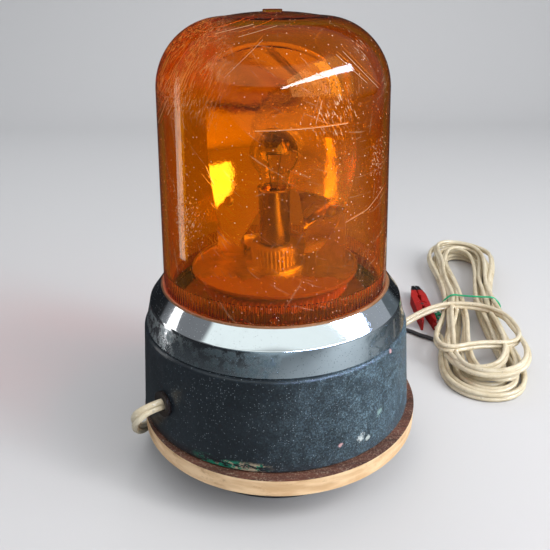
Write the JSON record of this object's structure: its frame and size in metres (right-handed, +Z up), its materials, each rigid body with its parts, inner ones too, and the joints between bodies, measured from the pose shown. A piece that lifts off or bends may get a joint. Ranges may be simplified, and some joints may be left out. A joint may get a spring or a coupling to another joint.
{
  "type": "rotating beacon light",
  "caption": "Amber rotating beacon on a wood disc with a magnet foot: domed lens, chrome ring, turning reflector driven by a geared motor, flat flex in a tied hank, and battery clips.",
  "frame": {"origin": "middle of the magnet foot's flat lower face, on the beacon's axis", "axes": "+Z up along the axis of the lens and spindle; -Y is the front, the side that the picture was taken from; the hank of flex lies on the +X side"},
  "size_m": [0.2854, 0.3603, 0.2385],
  "materials": {
    "amber_lens": "clear amber, scratched",
    "bare_aluminium": "bare, with dark paint worn away",
    "black_glass": "glossy black",
    "black_plastic": "moulded",
    "black_rubber": "matt",
    "black_sleeve": "soft vinyl sleeve",
    "brass_contact": "turned brass",
    "bright_steel": "bright",
    "bronze": "oiled bearing bronze",
    "brown_board": "brown laminated board",
    "brown_rubber": "matt, aged",
    "chrome_plate": "pitted chrome plate",
    "clear_glass": "clear",
    "cream_flex": "cream flex, slightly soiled",
    "ferrite": "matt grey-black ferrite",
    "foot_paint": "dull dark grey paint",
    "green_tie": "green-coated garden wire",
    "grey_wire": "soft vinyl",
    "housing_enamel": "blue-black enamel, worn and speckled",
    "ivory_nylon": "moulded nylon",
    "mirror_plate": "bright plated inside",
    "nickel": "nickel plate",
    "pale_seal": "aged pale rubber",
    "plywood": "red-brown stained face, pale sawn edge",
    "red_sleeve": "soft vinyl sleeve",
    "red_wire": "soft vinyl",
    "solder": "soft solder",
    "tungsten": "grey wire",
    "zinc_steel": "dull zinc plate"
  },
  "bodies": {
    "base": {"magnet_ring": "ferrite", "magnet_pot": "foot_paint", "foot_pad": "black_rubber", "foot_bolt": "zinc_steel", "foot_washer": "zinc_steel", "foot_nut": "zinc_steel", "wood_disc": "plywood", "base_screws": "zinc_steel", "base_nuts": "zinc_steel", "housing": "housing_enamel", "gasket": "black_rubber", "cord_grommet": "brown_rubber", "chassis_plate": "zinc_steel", "chassis_screws": "zinc_steel", "spindle": "bright_steel", "spindle_nut": "zinc_steel", "thrust_washer": "bronze", "spindle_clip": "zinc_steel", "bulb_holder": "nickel", "holder_insulator": "brown_board", "contact_spring": "zinc_steel", "contact_plunger": "brass_contact", "terminal_block": "brown_board", "supply_tail": "cream_flex", "motor_wires": "red_wire", "lamp_wire": "grey_wire", "motor_can": "bright_steel", "motor_endcap": "black_plastic", "motor_screws": "zinc_steel", "cord_run": "cream_flex", "cord_hank": "cream_flex", "hank_tie": "green_tie", "lead_red": "cream_flex", "lead_black": "grey_wire", "red_clip": "red_sleeve", "black_clip": "black_sleeve", "clip_pins": "zinc_steel", "clip_springs": "zinc_steel"},
    "rotor": {"bush": "bronze", "drive_gear": "ivory_nylon", "turntable": "bare_aluminium", "hub": "bare_aluminium", "bracket_left": "bare_aluminium", "bracket_right": "bare_aluminium", "bracket_screws": "zinc_steel", "reflector": "mirror_plate", "reflector_rivets": "zinc_steel"},
    "motor_rotor": {"motor_shaft": "bright_steel", "pinion": "brass_contact"},
    "bulb": {"bulb_cap": "brass_contact", "cap_insulator": "black_glass", "bulb_contact": "solder", "bulb_stem": "clear_glass", "bulb_filament": "tungsten", "bulb_glass": "clear_glass"},
    "cover": {"lens": "amber_lens", "lens_seal": "pale_seal", "chrome_ring": "chrome_plate"},
    "red_clip_jaw": {"red_jaw": "red_sleeve"},
    "black_clip_jaw": {"black_jaw": "black_sleeve"}
  },
  "joints": [
    {"name": "reflector_spin", "type": "hinge", "parent": "base", "child": "rotor", "pos_m": [0, 0, 0.1], "axis": [0, 0, 1], "continuous": true},
    {"name": "motor_spin", "type": "hinge", "parent": "base", "child": "motor_rotor", "pos_m": [0.0215, 0.03724, 0.1], "axis": [0, 0, 1], "continuous": true},
    {"name": "cover_lift", "type": "slide", "parent": "base", "child": "cover", "axis": [0, 0, 1], "range_m": [0, 0.16]},
    {"name": "bulb_pull", "type": "slide", "parent": "base", "child": "bulb", "axis": [0, 0, 1], "range_m": [0, 0.022]},
    {"name": "red_jaw_open", "type": "hinge", "parent": "base", "child": "red_clip_jaw", "pos_m": [0.1214, 0.153, 0.0046], "axis": [0, 0, 1], "range_deg": [0, 12], "stiffness_Nm_per_rad": 0.05, "springref_deg": -5.73},
    {"name": "black_jaw_open", "type": "hinge", "parent": "base", "child": "black_clip_jaw", "pos_m": [0.031, 0.116, 0.0046], "axis": [0, 0, 1], "range_deg": [0, 12], "stiffness_Nm_per_rad": 0.05, "springref_deg": -5.73}
  ],
  "couplings": [
    {"joint": "motor_spin", "follows": "reflector_spin", "ratio": -7.6}
  ]
}
